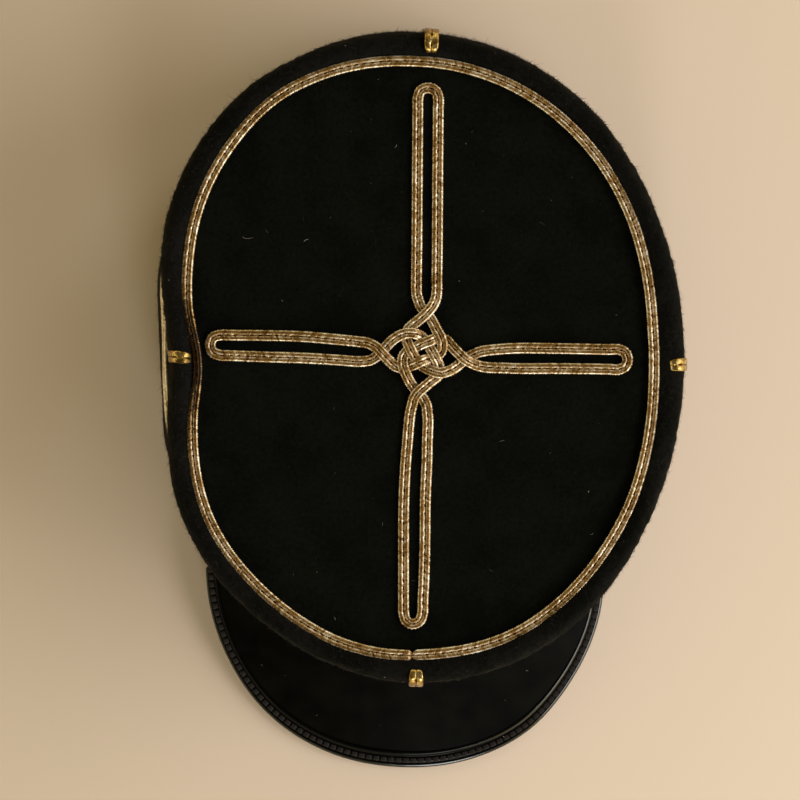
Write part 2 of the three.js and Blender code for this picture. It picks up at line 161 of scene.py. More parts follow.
# Knot: the path of its one braid, in four parts from arm tip to arm tip, in millimetres from its middle
# along and up the picture, with its share of the rise where it crosses over another part. It lies so far
# off the cloth, and rises so far at a crossing.
KNOT_SEAT = 0.1 * MM
CROSSING_LIFT = 1.35 * MM
KNOT_MIDDLE = (3.2 * MM, 13.36 * MM)
BACK_TO_LEFT = (
    (1.2, 77.9, 0), (-0.9, 77.1, 0), (-1.75, 75.0, 0), (-1.8, 71.4, 0), (-1.9, 60.0, 0), (-2.0, 45.0, 0),
    (-2.1, 30.0, 0), (-2.2, 22.0, 0), (-2.2, 18.6, 0), (-2.0, 16.8, 0), (-1.4, 15.0, 0), (-0.7, 13.5, 0),
    (0.5, 12.3, 0), (1.4, 11.0, 0), (2.5, 9.3, 0.2), (3.7, 6.9, 0.7), (4.9, 4.6, 1), (5.4, 2.5, 0.8),
    (4.9, 0.4, 0.3), (3.2, -1.0, 0), (1.1, -1.6, 0.4), (-1.3, -2.5, 1), (-3.7, -3.6, 0.5),
    (-5.8, -4.3, 0), (-8.3, -3.7, 0.2), (-10.6, -1.7, 0.7), (-12.7, 0.5, 1), (-14.3, 2.0, 0.6),
    (-16.6, 3.1, 0.1), (-19.3, 3.5, 0), (-25.2, 4.1, 0), (-35.8, 5.0, 0), (-46.3, 5.3, 0),
    (-56.9, 5.4, 0), (-59.7, 5.4, 0), (-61.9, 4.6, 0),
)
LEFT_TO_FRONT = (
    (-62.7, 2.5, 0), (-61.9, 0.4, 0), (-59.7, -0.5, 0), (-56.9, -0.6, 0), (-46.3, -1.0, 0),
    (-35.8, -1.3, 0), (-25.2, -1.9, 0), (-20.0, -2.3, 0), (-18.1, -2.3, 0), (-15.7, -1.9, 0),
    (-14.0, -0.9, 0), (-12.7, 0.4, 0), (-11.2, 1.9, 0.2), (-9.7, 3.5, 0.5), (-7.6, 5.0, 0.9),
    (-5.2, 5.9, 1), (-3.1, 5.9, 0.9), (-1.4, 5.4, 0.5), (0.2, 4.1, 0.1), (1.3, 2.5, 0), (2.1, 1.0, 0.6),
    (3.1, -0.8, 1), (4.2, -2.9, 0.5), (4.6, -4.7, 0), (4.1, -6.5, 0.2), (2.3, -8.0, 0.6),
    (0.5, -9.5, 0.9), (-1.6, -11.3, 1), (-2.9, -13.1, 0.5), (-3.5, -15.2, 0), (-4.0, -17.3, 0),
    (-4.3, -19.5, 0), (-4.8, -25.4, 0), (-5.3, -31.2, 0), (-5.9, -43.0, 0), (-6.0, -54.7, 0),
    (-6.0, -66.4, 0), (-6.0, -72.3, 0), (-5.9, -76.2, 0), (-5.1, -78.4, 0),
)
FRONT_TO_RIGHT = (
    (-3.2, -79.3, 0), (-1.2, -78.3, 0), (-0.4, -76.0, 0), (-0.3, -72.3, 0), (0.0, -66.4, 0),
    (0.3, -54.7, 0), (0.4, -43.0, 0), (0.9, -31.2, 0), (1.0, -25.4, 0), (1.2, -19.5, 0), (1.0, -17.3, 0),
    (0.7, -15.2, 0), (-0.2, -13.4, 0), (-1.7, -11.6, 0), (-3.1, -9.8, 0.1), (-4.3, -8.0, 0.4),
    (-5.3, -5.9, 0.8), (-6.2, -3.5, 1), (-6.3, -1.7, 0.8), (-5.5, 0.1, 0.4), (-4.0, 1.1, 0),
    (-2.5, 1.9, 0.2), (0.2, 3.2, 0.9), (1.7, 3.7, 1), (3.2, 4.3, 0.6), (5.0, 4.4, 0), (6.8, 3.7, 0.1),
    (8.0, 2.3, 0.4), (9.2, 1.0, 0.7), (10.4, -0.2, 0.9), (11.9, -1.6, 1), (14.0, -2.8, 0.5),
    (16.4, -3.7, 0.1), (19.1, -4.1, 0), (22.6, -4.2, 0), (27.9, -4.4, 0), (38.4, -4.4, 0),
    (49.0, -4.5, 0), (54.3, -4.6, 0), (56.9, -4.7, 0), (58.9, -3.8, 0),
)
RIGHT_TO_BACK = (
    (59.7, -1.8, 0), (58.9, 0.3, 0), (56.9, 1.2, 0), (54.3, 1.2, 0), (49.0, 1.3, 0), (38.4, 1.5, 0),
    (27.9, 1.6, 0), (22.6, 1.3, 0), (19.1, 1.0, 0), (16.4, 0.5, 0), (14.3, -0.4, 0), (12.5, -1.4, 0),
    (10.7, -2.9, 0.1), (8.9, -4.3, 0.4), (6.8, -5.3, 0.8), (4.7, -5.7, 1), (2.6, -5.2, 0.8),
    (0.8, -4.4, 0.3), (-0.8, -3.4, 0), (-2.0, -2.0, 0.3), (-3.1, -0.4, 0.8), (-4.0, 1.3, 1),
    (-4.7, 2.8, 0.6), (-5.2, 4.6, 0), (-5.0, 6.3, 0), (-4.0, 7.8, 0.3), (-2.3, 9.2, 0.7),
    (-0.7, 10.5, 0.9), (1.1, 12.2, 1), (2.6, 14.1, 0.6), (3.5, 16.2, 0.1), (3.8, 18.6, 0), (3.8, 22.0, 0),
    (3.9, 30.0, 0), (4.0, 45.0, 0), (4.1, 60.0, 0), (4.2, 71.4, 0), (4.2, 75.0, 0), (3.3, 77.1, 0),
)

# How far the soft crown and the peak have settled out of true, in millimetres outwards at an angle about the
# knot, in degrees: at the foot of the rim, at its outer edge, at the seam of crown and band, at the hem and
# at the edge of the peak. The steps are rounded over so many degrees to either side.
COURSE_ROUNDED = 6
RING_SETTLED = (
    (6, -0.6), (32, 0.8), (45, 0.9), (60, 0.3), (78, -0.6), (93, -0.9), (105, -0.1), (120, 0.6),
    (132, -0.4), (150, -0.6), (162, -1.0), (172, -0.2), (182, 1.2), (190, 0.3), (198, -0.3), (216, 0.4),
    (240, 1.2), (252, 1.1), (264, 0.0), (273, -0.9), (290, 0.5), (312, 1.0), (324, 1.2), (340, 0.4),
    (352, -0.3),
)
EDGE_SETTLED = (
    (0, 0.5), (24, 0.0), (42, -0.4), (54, 0.2), (66, -0.4), (84, -1.0), (108, -1.0), (126, -0.7),
    (144, -0.2), (156, 0.0), (164, -0.7), (170, -1.1), (180, 0.9), (190, -0.1), (197, -0.7), (206, -0.2),
    (222, 0.6), (240, 0.8), (270, 1.0), (290, 1.2), (305, 1.5), (318, 0.8), (336, 0.7),
)
SEAM_SETTLED = (
    (40, 0.0), (58, -1.8), (96, -1.8), (112, 0.0), (130, 0.0), (148, 3.5), (158, 4.8), (163, 4.3),
    (171, 1.2), (179, 0.4), (190, 1.4), (198, 3.5), (205, 3.4), (218, 0.0),
)
HEM_SETTLED = (
    (130, 0.0), (150, 2.0), (160, 2.2), (165, 1.6), (171, 0.2), (179, -0.6), (190, -0.4), (197, 1.6),
    (203, 1.8), (215, 0.0),
)
PEAK_SETTLED = (
    (226, 0.8), (236, 0.8), (248, 1.4), (258, 0.9), (267, 0.2), (276, 0.7), (286, 1.3), (296, -0.3),
)
SETTLED = {
    "ring": RING_SETTLED,
    "edge": EDGE_SETTLED,
    "seam": SEAM_SETTLED,
    "hem": HEM_SETTLED,
    "peak": PEAK_SETTLED,
}
# The rim is so wide. The crown moves with it wholly above the second height, and below the first not at all.
RIM_WIDTH = 9.0 * MM
SETTLE_FROM, SETTLE_TO = 45 * MM, 92 * MM
# The seam is so high, and the crown moves with it up to so far above
SEAM_HEIGHT, SEAM_REACH = 36 * MM, 34 * MM
# The peak moves with its edge wholly past the second distance from the knot, and up to the first not at all
PEAK_FROM, PEAK_TO = 100 * MM, 122 * MM

# The top is stretched so that its edge is tucked under the rim, and the band so that it goes into the crown
TUCKED_IN, TUCKED_UP = 1.008, 1.03
# How far edges are rounded. On the band and the peak it is those that turn by more than an angle.
TOP_ROUNDED, BAND_ROUNDED, PEAK_ROUNDED = 0.5 * MM, 0.7 * MM, 0.4 * MM
SHARP_ANGLE = math.radians(50)
# Unevenness of cloth and leather: the size of its waves, their height, and the level that stays in place,
# where at 0 the surface only swells and at 0.5 it goes both ways
CROWN_WAVES = (22 * MM, 0.6 * MM, 0.4)
CROWN_LUMPS = (2.4 * MM, 0.75 * MM, 0.5)
TOP_WAVES = (30 * MM, 0.5 * MM, 0.5)
PEAK_WAVES = (35 * MM, 0.5 * MM, 0.5)
# Painted sheen: the wool is painted paler to the left of the first place across the cap, for the light that
# the fuzz of the rim catches there, and no more from the second on
PAINTED_SHEEN_AT = (-76 * MM, -64 * MM)

# Nap: the radius and the depth of a fibre's root, its least height above the table, the shape and scale of
# the draw of its length, how far it stands up for each step along the cloth, and the draw of its shade.
# Real fibres and hairs of lint are thinner, and would not show.
NAP_RADIUS = 0.06 * MM
NAP_ROOT = 0.1 * MM
NAP_LOWEST = 0.02 * MM
NAP_LENGTH = (4.0, 0.27 * MM)
NAP_STANDS = (0.1, 0.9)
NAP_SHADE = (1.2, 4.0)
# It grows where a face leans down by no more than this, and so many times as thick on the rim, which is so
# deep, as below it. On flat pieces it grows where a face looks up by more than that.
NAP_LEAN = -0.3
NAP_ON_RIM = 4.0
NAP_RIM = 12 * MM
NAP_UPWARD = 0.5

# Lint: the rows of a hair, its least length, the draw of what it has more, how far it bends, how high above
# the cloth it lies, its radius, the stretch of a half wave that this follows, and the draw of its shade
LINT_ROWS = 5
LINT_SHORTEST = 0.25 * MM
LINT_LONGER = (1.0, 0.45 * MM)
LINT_BEND = 0.5
LINT_SEAT = 0.2 * MM
LINT_RADIUS = (0.045 * MM, 0.085 * MM)
LINT_TAPER = (0.1, 0.9)
LINT_SHADE = (1.2, 2.5)
# Angles of the three corners round a fibre or a hair
THREE_SIDES = [2 * math.pi * k / 3 for k in range(3)]

# Binding of the peak: its width at the ends and in the middle, and its section from the inner edge over the
# lip, the stitched strip and the outer roll to the underside, in widths from the outer edge and millimetres
# above the leather. The nose of its solid stands off the leather by more than so much, and the height of the
# leather is taken so far in from there.
BINDING_WIDTH = (3.9 * MM, 5.6 * MM)
BINDING_STEP = 1.2 * MM
BINDING_NOSE = 0.6 * MM
LEATHER_AT = (1.6 * MM, 4.6 * MM)
BINDING_SECTION = (
    (1.00, -0.4), (0.99, 0.12), (0.95, 0.32), (0.88, 0.42), (0.80, 0.38), (0.745, 0.22), (0.70, 0.06),
    (0.66, 0.04), (0.62, 0.14), (0.57, 0.26), (0.45, 0.3), (0.33, 0.26), (0.29, 0.14), (0.265, 0.12),
    (0.25, 0.34), (0.22, 0.43), (0.18, 0.44), (0.13, 0.42), (0.08, 0.37), (0.04, 0.25), (0.015, 0.05),
    (0.0, -0.4), (0.02, -1.2), (0.10, -2.1), (0.22, -2.75), (0.4, -2.9), (0.7, -2.85), (0.78, -2.6),
    (0.8, -2.0),
)
# The strip that is sewn, in the same widths, is dull
SEWN_STRIP = (0.26, 0.71)
# The lip is worn dull from the left end to the first share of its length, and keeps its gloss from the
# second on. The outer roll is worn by a part of that.
LIP_WORN = ((0.6, 0.8), (1.0, 0.0))
ROLL_WORN = 0.7
# Stitches: their place in the section, their pitch, the length, width and height of one, and its rounding
STITCH_PLACE = (0.45, 0.3)
STITCH_PITCH = 2.4 * MM
STITCH_SIZE = (1.9 * MM, 1.6 * MM, 0.4 * MM)
STITCH_ROUNDED = 0.25 * MM

# From the CAD: the middle of the top, and the height where the rim begins
TOP_MIDDLE = sum(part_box("top_panel"), Vector()) / 2
RIM_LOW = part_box("crown_wall")[1].z - NAP_RIM


# Materials


def colour(hex_code):
    """Linear red, green, blue and alpha of an sRGB hex value."""
    parts = [int(hex_code[i:i + 2], 16) / 255 for i in (1, 3, 5)]
    linear = [p / 12.92 if p <= 0.04045 else ((p + 0.055) / 1.055) ** 2.4 for p in parts]
    return (*linear, 1.0)


def add(tree, kind, inputs=None, **settings):
    """One node with its settings; an input is a value or the output that feeds it."""
    node = tree.nodes.new(kind)
    for name, value in settings.items():
        setattr(node, name, value)
    for name, value in (inputs or {}).items():
        if isinstance(value, bpy.types.NodeSocket):
            tree.links.new(value, node.inputs[name])
        else:
            node.inputs[name].default_value = value
    return node


def new_material(name):
    """An empty node material and the coordinates that its patterns follow, in metres."""
    material = bpy.data.materials.new(name)
    material.use_nodes = True
    material.node_tree.nodes.clear()
    coords = add(material.node_tree, "ShaderNodeTexCoord").outputs["Object"]
    return material, material.node_tree, coords


def show(material, shader):
    """Ends a material with its shader, and gives it back."""
    add(material.node_tree, "ShaderNodeOutputMaterial", {"Surface": shader.outputs[0]})
    return material


def black_wool(name, sheen, dust_and_painted_light_tone, painted_left_sheen):
    """Fulled wool cloth: a matt black felted face, dusted paler in patches, with a soft sheen at glancing
    angles.

    The left side is painted paler by so much again, as painted sheen where its fuzz catches the light.
    Single fibres are too fine to show, so the face has the lumps that they make."""
    material, tree, coords = new_material(name)
    lumps = add(tree, "ShaderNodeTexNoise", {"Vector": coords, "Scale": 1 / (1.1 * MM), "Detail": 4.0})
    patches = add(tree, "ShaderNodeTexNoise", {"Vector": coords, "Scale": 1 / (14 * MM), "Detail": 2.0})
    mixed = add(
        tree, "ShaderNodeMath", {0: lumps.outputs["Fac"], 1: patches.outputs["Fac"]}, operation="MULTIPLY"
    )
    spread = add(tree, "ShaderNodeMapRange", {"Value": mixed.outputs[0], "From Min": 0.16, "From Max": 0.36})
    spot = add(tree, "ShaderNodeSeparateXYZ", {0: coords})
    # Painted sheen on the left side, added to the dusted patches
    left = add(tree, "ShaderNodeMapRange", {
        "Value": spot.outputs["X"], "From Min": PAINTED_SHEEN_AT[0], "From Max": PAINTED_SHEEN_AT[1],
        "To Min": painted_left_sheen, "To Max": 0.0,
    })
    dust_and_painted_light = add(tree, "ShaderNodeMath", {0: spread.outputs[0], 1: left.outputs[0]}, operation="ADD")
    face = add(
        tree, "ShaderNodeMix",
        {0: dust_and_painted_light.outputs[0], MIX_FIRST: colour("#070806"), MIX_SECOND: colour(dust_and_painted_light_tone)},
        data_type="RGBA", clamp_factor=False,
    )
    relief = add(
        tree, "ShaderNodeBump", {"Height": lumps.outputs["Fac"], "Strength": 0.5, "Distance": 0.25 * MM}
    )
    shader = add(tree, "ShaderNodeBsdfPrincipled", {
        "Base Color": face.outputs[MIX_RESULT],
        "Roughness": 0.95,
        "Specular IOR Level": 0.03,
        "Sheen Weight": sheen,
        "Sheen Roughness": 0.5,
        "Sheen Tint": colour("#d8cbb8"),
        "Normal": relief.outputs[0],
    })
    return show(material, shader)


def hairs(name, dark, pale, roughness, specular):
    """Dull hairs, each with a shade of its own between dark and pale."""
    material, tree, _ = new_material(name)
    shade = add(tree, "ShaderNodeAttribute", attribute_name="shade")
    face = add(
        tree, "ShaderNodeMix",
        {0: shade.outputs["Fac"], MIX_FIRST: colour(dark), MIX_SECOND: colour(pale)},
        data_type="RGBA",
    )
    shader = add(tree, "ShaderNodeBsdfPrincipled", {
        "Base Color": face.outputs[MIX_RESULT],
        "Roughness": roughness,
        "Specular IOR Level": specular,
    })
    return show(material, shader)


def wool_fibre():
    """Loose ends of dyed wool: dark, slightly brown fibres, a few of them faded."""
    return hairs("black wool, loose fibre ends", "#080706", "#45403a", roughness=0.8, specular=0.05)


def cotton_lint():
    """Stray cotton fluff: pale grey and dull, a few hairs brighter than the rest."""
    return hairs("cotton lint, caught on the nap", "#2c2a28", "#b7afa4", roughness=0.9, specular=0.1)


def gilt_thread(name, dark, brown, pale, metal):
    """Gilt wire wound on a cotton core: brown where tarnished, pale with painted highlights, dark with
    painted shade.

    Single wires are too fine to show, so the grain that they give is drawn coarser, with painted glints."""
    material, tree, coords = new_material(name)
    shade = add(tree, "ShaderNodeAttribute", attribute_name="shade")
    tarnish = add(tree, "ShaderNodeTexNoise", {"Vector": coords, "Scale": 1 / (7 * MM), "Detail": 4.0})
    worn = add(tree, "ShaderNodeMapRange", {
        "Value": tarnish.outputs["Fac"], "From Min": 0.3, "From Max": 0.7, "To Min": -0.12, "To Max": 0.12,
    })
    # Fine specks, paler and darker: the grain of the wires, drawn coarser, and painted glints
    wire = add(tree, "ShaderNodeTexNoise", {"Vector": coords, "Scale": 1 / (0.4 * MM), "Detail": 1.0})
    grain = add(tree, "ShaderNodeMapRange", {
        "Value": wire.outputs["Fac"], "From Min": 0.3, "From Max": 0.7, "To Min": -0.2, "To Max": 0.2,
    })
    tarnish_grain_and_glints = add(tree, "ShaderNodeMath", {0: worn.outputs[0], 1: grain.outputs[0]})
    mixed = add(tree, "ShaderNodeMath", {0: shade.outputs["Fac"], 1: tarnish_grain_and_glints.outputs[0]})
    ramp = add(tree, "ShaderNodeValToRGB", {"Fac": mixed.outputs[0]})
    ramp.color_ramp.elements[0].color = colour(dark)
    ramp.color_ramp.elements[1].color = colour(pale)
    ramp.color_ramp.elements.new(BROWN_SHADE).color = colour(brown)
    shader = add(tree, "ShaderNodeBsdfPrincipled", {
        "Base Color": ramp.outputs["Color"],
        "Metallic": metal,
        "Roughness": 0.27,
        "Coat Weight": 0.2,
        "Coat Roughness": 0.2,
    })
    return show(material, shader)


def peak_leather():
    """Vegetable tanned leather, blacked and polished: a soft cloudy gloss over a very fine grain.

    Real pores are too fine to show, so the grain is drawn coarser."""
    material, tree, coords = new_material("black leather, waxed and polished")
    clouds = add(tree, "ShaderNodeTexNoise", {"Vector": coords, "Scale": 1 / (16 * MM), "Detail": 4.0})
    gloss = add(tree, "ShaderNodeMapRange", {
        "Value": clouds.outputs["Fac"], "From Min": 0.3, "From Max": 0.7, "To Min": 0.3, "To Max": 0.5,
    })
    grain = add(tree, "ShaderNodeTexVoronoi", {"Vector": coords, "Scale": 1 / (0.7 * MM)})
    relief = add(
        tree, "ShaderNodeBump", {"Height": grain.outputs["Distance"], "Strength": 0.12, "Distance": 0.1 * MM}
    )
    # Paler cloudy patches in the colour: partly dusted leather and partly painted reflection of the room in
    # the polish
    dust_and_painted_light = add(tree, "ShaderNodeTexNoise", {"Vector": coords, "Scale": 1 / (9 * MM), "Detail": 6.0})
    spread = add(
        tree, "ShaderNodeMapRange", {"Value": dust_and_painted_light.outputs["Fac"], "From Min": 0.35, "From Max": 0.7}
    )
    face = add(
        tree, "ShaderNodeMix",
        {0: spread.outputs[0], MIX_FIRST: colour("#020202"), MIX_SECOND: colour("#090905")},
        data_type="RGBA",
    )
    shader = add(tree, "ShaderNodeBsdfPrincipled", {
        "Base Color": face.outputs[MIX_RESULT],
        "Roughness": gloss.outputs[0],
        "Specular IOR Level": 0.03,
        "Normal": relief.outputs[0],
    })
    return show(material, shader)


def patent_leather():
    """Leather under a baked black lacquer: a hard bright gloss with faint streaks, dull where it is sewn."""
    material, tree, coords = new_material("black patent leather, lacquered")
    sewn = add(tree, "ShaderNodeAttribute", attribute_name="shade")
    bright = add(tree, "ShaderNodeMapRange", {"Value": sewn.outputs["Fac"], "To Min": 0.9, "To Max": 0.05})
    rubs = add(tree, "ShaderNodeTexNoise", {"Vector": coords, "Scale": 1 / (5 * MM), "Detail": 5.0})
    gloss = add(tree, "ShaderNodeMapRange", {
        "Value": rubs.outputs["Fac"], "From Min": 0.35, "From Max": 0.75, "To Min": 0.1, "To Max": 0.2,
    })
    shader = add(tree, "ShaderNodeBsdfPrincipled", {
        "Base Color": colour("#060606"),
        "Roughness": gloss.outputs[0],
        "Specular IOR Level": bright.outputs[0],
    })
    return show(material, shader)


def waxed_thread():
    """Twisted linen thread drawn through black wax: dark, with a dull shine on each stitch."""
    material, tree, coords = new_material("linen thread, black waxed")
    twist = add(tree, "ShaderNodeTexNoise", {"Vector": coords, "Scale": 1 / (0.4 * MM)})
    relief = add(
        tree, "ShaderNodeBump", {"Height": twist.outputs["Fac"], "Strength": 0.4, "Distance": 0.1 * MM}
    )
    shader = add(tree, "ShaderNodeBsdfPrincipled", {
        "Base Color": colour("#1b1514"),
        "Roughness": 0.6,
        "Specular IOR Level": 0.2,
        "Normal": relief.outputs[0],
    })
    return show(material, shader)


def table_board():
    """Painted board: an even, warm pale matt surface."""
    material, tree, coords = new_material("pale board, matt painted")
    grit = add(tree, "ShaderNodeTexNoise", {"Vector": coords, "Scale": 1 / (6 * MM), "Detail": 5.0})
    relief = add(
        tree, "ShaderNodeBump", {"Height": grit.outputs["Fac"], "Strength": 0.05, "Distance": 0.3 * MM}
    )
    shader = add(tree, "ShaderNodeBsdfPrincipled", {
        "Base Color": colour("#e7d2bf"),
        "Roughness": 0.8,
        "Specular IOR Level": 0.2,
        "Normal": relief.outputs[0],
    })
    return show(material, shader)


# Modelling helpers


def select_only(piece):
    """Selects one piece alone and makes it the active one."""
    bpy.ops.object.select_all(action="DESELECT")
    piece.select_set(True)
    bpy.context.view_layer.objects.active = piece


def edit_all(piece):
    """Starts to edit the whole mesh of one piece."""
    select_only(piece)
    bpy.ops.object.mode_set(mode="EDIT")
    bpy.ops.mesh.select_all(action="SELECT")


def merged_copy(node, name):
    """A new piece from a CAD node's mesh, with its corners merged and its triangles paired into quads."""
    piece = bpy.data.objects.new(name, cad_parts[node].data.copy())
    bpy.context.scene.collection.objects.link(piece)
    piece.data.materials.clear()
    select_only(piece)
    bpy.ops.mesh.customdata_custom_splitnormals_clear()
    edit_all(piece)
    bpy.ops.mesh.remove_doubles(threshold=MERGED_WITHIN)
    bpy.ops.mesh.tris_convert_to_quads(face_threshold=math.pi, shape_threshold=math.pi)
    bpy.ops.object.mode_set(mode="OBJECT")
    return piece


def finish_with(piece, kind, **settings):
    """Adds a modifier and applies it."""
    select_only(piece)
    bpy.ops.object.modifier_add(type=kind)
    modifier = piece.modifiers[-1]
    for name, value in settings.items():
        setattr(modifier, name, value)
    bpy.ops.object.modifier_apply(modifier=modifier.name)


def subdivide(piece, levels):
    """Rounds a piece by so many subdivisions."""
    finish_with(piece, "SUBSURF", levels=levels, render_levels=levels)


def stretch(piece, factors, about):
    """Scales the mesh of a piece about a point."""
    edit_all(piece)
    bpy.ops.transform.resize(value=factors, center_override=about)
    bpy.ops.object.mode_set(mode="OBJECT")


def uneven(piece, size, strength, level):
    """Soft unevenness of cloth or leather, in waves of a size and strength about a level."""
    clouds = bpy.data.textures.new("unevenness", "CLOUDS")
    clouds.noise_scale = size
    clouds.noise_depth = 1
    finish_with(
        piece, "DISPLACE", texture=clouds, strength=strength, mid_level=level, texture_coords="LOCAL"
    )


def smooth(piece):
    """Shades a piece smooth."""
    select_only(piece)
    bpy.ops.object.shade_smooth()


def place(piece, material, slot, *nodes):
    """Gives a finished piece its material and its place in the frame."""
    piece.data.materials.clear()
    piece.data.materials.append(material)
    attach(piece, "root")
    if nodes:
        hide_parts(*nodes)


def array_piece(name, points, faces, shade):
    """A piece joined from many small shapes, each with its own shade."""
    mesh = bpy.data.meshes.new(name)
    mesh.from_pydata(points.tolist(), [], faces)
    mesh.attributes.new("shade", "FLOAT", "POINT").data.foreach_set("value", shade.astype(np.float32))
    piece = bpy.data.objects.new(name, mesh)
    bpy.context.scene.collection.objects.link(piece)
    return piece


def surface_of(piece):
    """The surface of a piece, to find the nearest or first point on."""
    shape = bmesh.new()
    shape.from_mesh(piece.data)
    surface = BVHTree.FromBMesh(shape)
    shape.free()
    return surface


def unit(vectors):
    """Vectors of length 1 along the given ones."""
    return vectors / np.linalg.norm(vectors, axis=-1, keepdims=True)


def smooth_line(points, closed, step):
    """Rows at even steps along a smooth curve that goes through points.

    Its pace from point to point goes by the root of their distance, which keeps it free of loops. Columns
    after the first three, such as the way that a braid faces, are carried along."""
    points = np.asarray(points, float)
    if closed:
        row = np.vstack([points[-1], points, points[0], points[1]])
    else:
        row = np.vstack([2 * points[0] - points[1], points, 2 * points[-1] - points[-2]])
    times = np.cumsum(np.sqrt(np.linalg.norm(np.diff(row[:, :3], axis=0), axis=1)))
    times = np.concatenate([[0], times])
    dense = []
    for i in range(1, len(row) - 2):
        t0, t1, t2, t3 = times[i - 1:i + 3]
        a, b, c, d = row[i - 1:i + 3]
        t = np.linspace(t1, t2, CURVE_STEPS, endpoint=False)[:, None]
        ab = ((t1 - t) * a + (t - t0) * b) / (t1 - t0)
        bc = ((t2 - t) * b + (t - t1) * c) / (t2 - t1)
        cd = ((t3 - t) * c + (t - t2) * d) / (t3 - t2)
        abc = ((t2 - t) * ab + (t - t0) * bc) / (t2 - t0)
        bcd = ((t3 - t) * bc + (t - t1) * cd) / (t3 - t1)
        dense.append(((t2 - t) * abc + (t - t1) * bcd) / (t2 - t1))
    dense = np.vstack([*dense, row[-2]])
    walked = np.cumsum(np.linalg.norm(np.diff(dense[:, :3], axis=0), axis=1))
    walked = np.concatenate([[0], walked])
    even = np.linspace(0, walked[-1], round(walked[-1] / step) + 1)
    rows = np.column_stack([np.interp(even, walked, column) for column in dense.T])
    return rows[:-1] if closed else rows


def tube_faces(count, sides, closed, hand, start):
    """The faces of a tube of rings of corners that begin at a start, with flat ends if it isn't closed.

    Its hand, 1 or -1, is the way that the corners go round."""
    rings = start + np.arange(count * sides).reshape(count, sides)
    onward = np.roll(rings, -1, axis=0)
    beside = np.roll(rings, -1, axis=1)
    quads = np.stack([rings, beside, np.roll(onward, -1, axis=1), onward], axis=-1)[:, :, ::hand]
    faces = quads[:count if closed else -1].reshape(-1, 4).tolist()
    if not closed:
        faces += [rings[0, ::-hand].tolist(), rings[-1, ::hand].tolist()]
    return faces


# Settling of the soft cap


def by_angle(table, angle):
    """A rounded course through the steps of a table of millimetres by angle, in metres."""
    angles, amounts = np.array(table).T
    full = np.interp(np.arange(360), angles, amounts * MM, period=360)
    window = np.hanning(2 * COURSE_ROUNDED + 1)
    around = np.concatenate([full[-COURSE_ROUNDED:], full, full[:COURSE_ROUNDED]])
    rounded = np.convolve(around, window / window.sum(), mode="valid")
    return np.interp(angle, np.arange(360), rounded, period=360)


def around_knot(points):
    """The way from the middle of the knot to each point, and its angle in the picture, in degrees."""
    away = points[:, :2] - np.array(KNOT_MIDDLE)
    return away, np.degrees(np.arctan2(away[:, 1], away[:, 0]) - CAMERA_TURN) % 360


def settled(points):
    """Points of the crown or peak, moved to where the soft cap has settled."""
    away, angle = around_knot(points)
    reach = np.linalg.norm(away, axis=1)
    push = {name: by_angle(table, angle) for name, table in SETTLED.items()}
    # The top and the rim move with the ring and the rim's edge, and the crown below them less and less
    foot = np.interp(angle, *RING_COURSE, period=360)
    out = np.clip((reach - foot) / RIM_WIDTH, 0, 1)
    inside = np.clip(reach / foot, 0, 1) ** 2
    high = np.clip((points[:, 2] - SETTLE_FROM) / (SETTLE_TO - SETTLE_FROM), 0, 1)
    crown = high * inside * (push["ring"] * (1 - out) + push["edge"] * out)
    # The band moves with the hem and the seam, and the crown above the seam less and less
    height = np.clip(points[:, 2] / SEAM_HEIGHT, 0, 1)
    fade = np.clip(1 - (points[:, 2] - SEAM_HEIGHT) / SEAM_REACH, 0, 1) ** 2
    crown += fade * (push["hem"] * (1 - height) + push["seam"] * height)
    visor = (1 - high) * np.clip((reach - PEAK_FROM) / (PEAK_TO - PEAK_FROM), 0, 1) * push["peak"]
    moved = points.copy()
    moved[:, :2] += unit(away + LEAST_LENGTH) * (crown + visor)[:, None]
    return moved


def settle(piece):
    """Moves the corners of a piece to where the soft cap has settled."""
    places = np.empty(len(piece.data.vertices) * 3)
    piece.data.vertices.foreach_get("co", places)
    piece.data.vertices.foreach_set("co", settled(places.reshape(-1, 3)).ravel())
    piece.data.update()


# Cloth


def crown_wall():
    """The soft side of the crown with its rolled rim, lumpy as fulled wool is."""
    piece = merged_copy("crown_wall", "crown_wool")
    subdivide(piece, levels=3)
    settle(piece)
    uneven(piece, *CROWN_WAVES)
    uneven(piece, *CROWN_LUMPS)
    smooth(piece)
    return piece


def top_panel():
    """The flat oval top, tucked under the rim."""
    piece = merged_copy("top_panel", "top_wool")
    finish_with(piece, "BEVEL", width=TOP_ROUNDED, segments=1, limit_method="ANGLE")
    subdivide(piece, levels=2)
    stretch(piece, (TUCKED_IN, TUCKED_IN, 1.0), TOP_MIDDLE)
    settle(piece)
    uneven(piece, *TOP_WAVES)
    smooth(piece)
    return piece


def band():
    """The band round the head, tucked into the crown."""
    piece = merged_copy("band", "band_wool")
    finish_with(
        piece, "BEVEL", width=BAND_ROUNDED, segments=2, limit_method="ANGLE", angle_limit=SHARP_ANGLE
    )
    subdivide(piece, levels=2)
    stretch(piece, (1.0, 1.0, TUCKED_UP), (0, 0, 0))
    settle(piece)
    smooth(piece)
    return piece


def faces_out(centres, normals):
    """Share of nap on the outer face of the crown and band, with none on the inside."""
    away = centres[:, :2] - np.array(TOP_MIDDLE[:2])
    outward = (away * normals[:, :2]).sum(1) > 0
    rim = centres[:, 2] > RIM_LOW
    return ((outward | rim) & (normals[:, 2] > NAP_LEAN)) * np.where(rim, NAP_ON_RIM, 1.0)


def faces_up(_, normals):
    """The upper faces of a flat piece alone."""
    return normals[:, 2] > NAP_UPWARD


